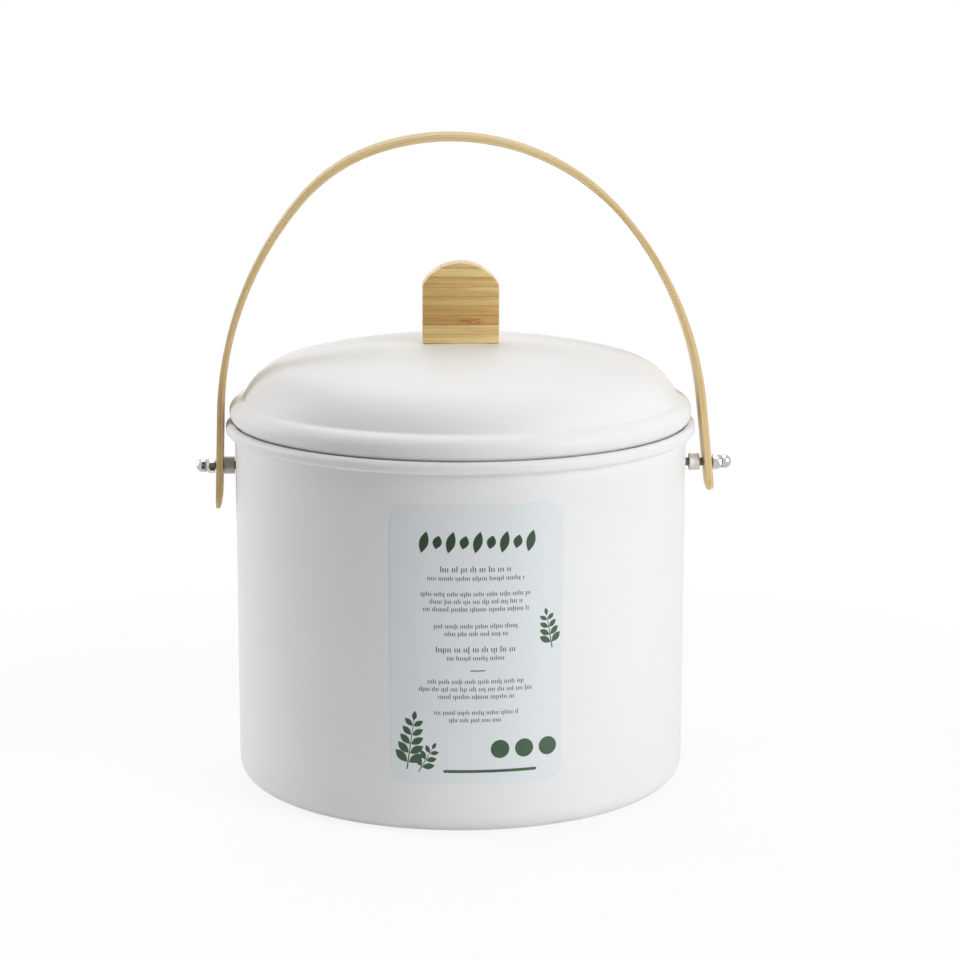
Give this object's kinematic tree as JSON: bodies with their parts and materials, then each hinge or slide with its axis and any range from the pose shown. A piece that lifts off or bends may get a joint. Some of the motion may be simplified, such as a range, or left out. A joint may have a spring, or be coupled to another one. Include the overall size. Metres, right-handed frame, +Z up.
{
  "type": "compost caddy",
  "caption": "Round white steel kitchen compost caddy with a lift-off domed lid, a bamboo knob, a bent bamboo bail handle on bolted pivots, and a carbon filter in the lid.",
  "frame": {"origin": "centre of the bucket's flat base, on the surface that it stands on", "axes": "+Z up along the bucket's axis, +X along the bail's pivot axis towards the longer bolt, -Y towards the label"},
  "size_m": [0.2626, 0.2288, 0.3165],
  "materials": {
    "powder_coat": "satin warm-white powder coat",
    "bamboo": "clear-lacquered bamboo",
    "bright_steel": "bright plated",
    "satin_steel": "turned, zinc plated",
    "label": "satin printed film",
    "filter_plastic": "moulded, matte",
    "carbon_felt": "activated carbon felt"
  },
  "bodies": {
    "bucket": {"bucket_body": "powder_coat", "label": "label", "pivot_bolt_left": "bright_steel", "pivot_bolt_right": "bright_steel", "inner_washer_left": "satin_steel", "inner_washer_right": "satin_steel", "spacer_left": "satin_steel", "spacer_right": "satin_steel", "cap_nut_left": "bright_steel", "cap_nut_right": "bright_steel"},
    "bail": {"bail_handle": "bamboo"},
    "lid": {"lid_shell": "powder_coat", "lid_collar": "powder_coat", "knob": "bamboo", "knob_screw_left": "satin_steel", "knob_screw_right": "satin_steel", "knob_washer_left": "satin_steel", "knob_washer_right": "satin_steel", "filter_ring": "filter_plastic"},
    "filter": {"filter_tray": "filter_plastic", "filter_pad": "carbon_felt"}
  },
  "joints": [
    {"name": "bail_swing", "type": "hinge", "parent": "bucket", "child": "bail", "pos_m": [0, 0, 0.1554], "axis": [1, 0, 0], "range_deg": [-131, 131]},
    {"name": "lid_lift", "type": "slide", "parent": "bucket", "child": "lid", "axis": [0, 0, 1], "range_m": [0, 0.018]},
    {"name": "filter_drop", "type": "slide", "parent": "lid", "child": "filter", "axis": [0, 0, -1], "range_m": [0, 0.05]}
  ]
}
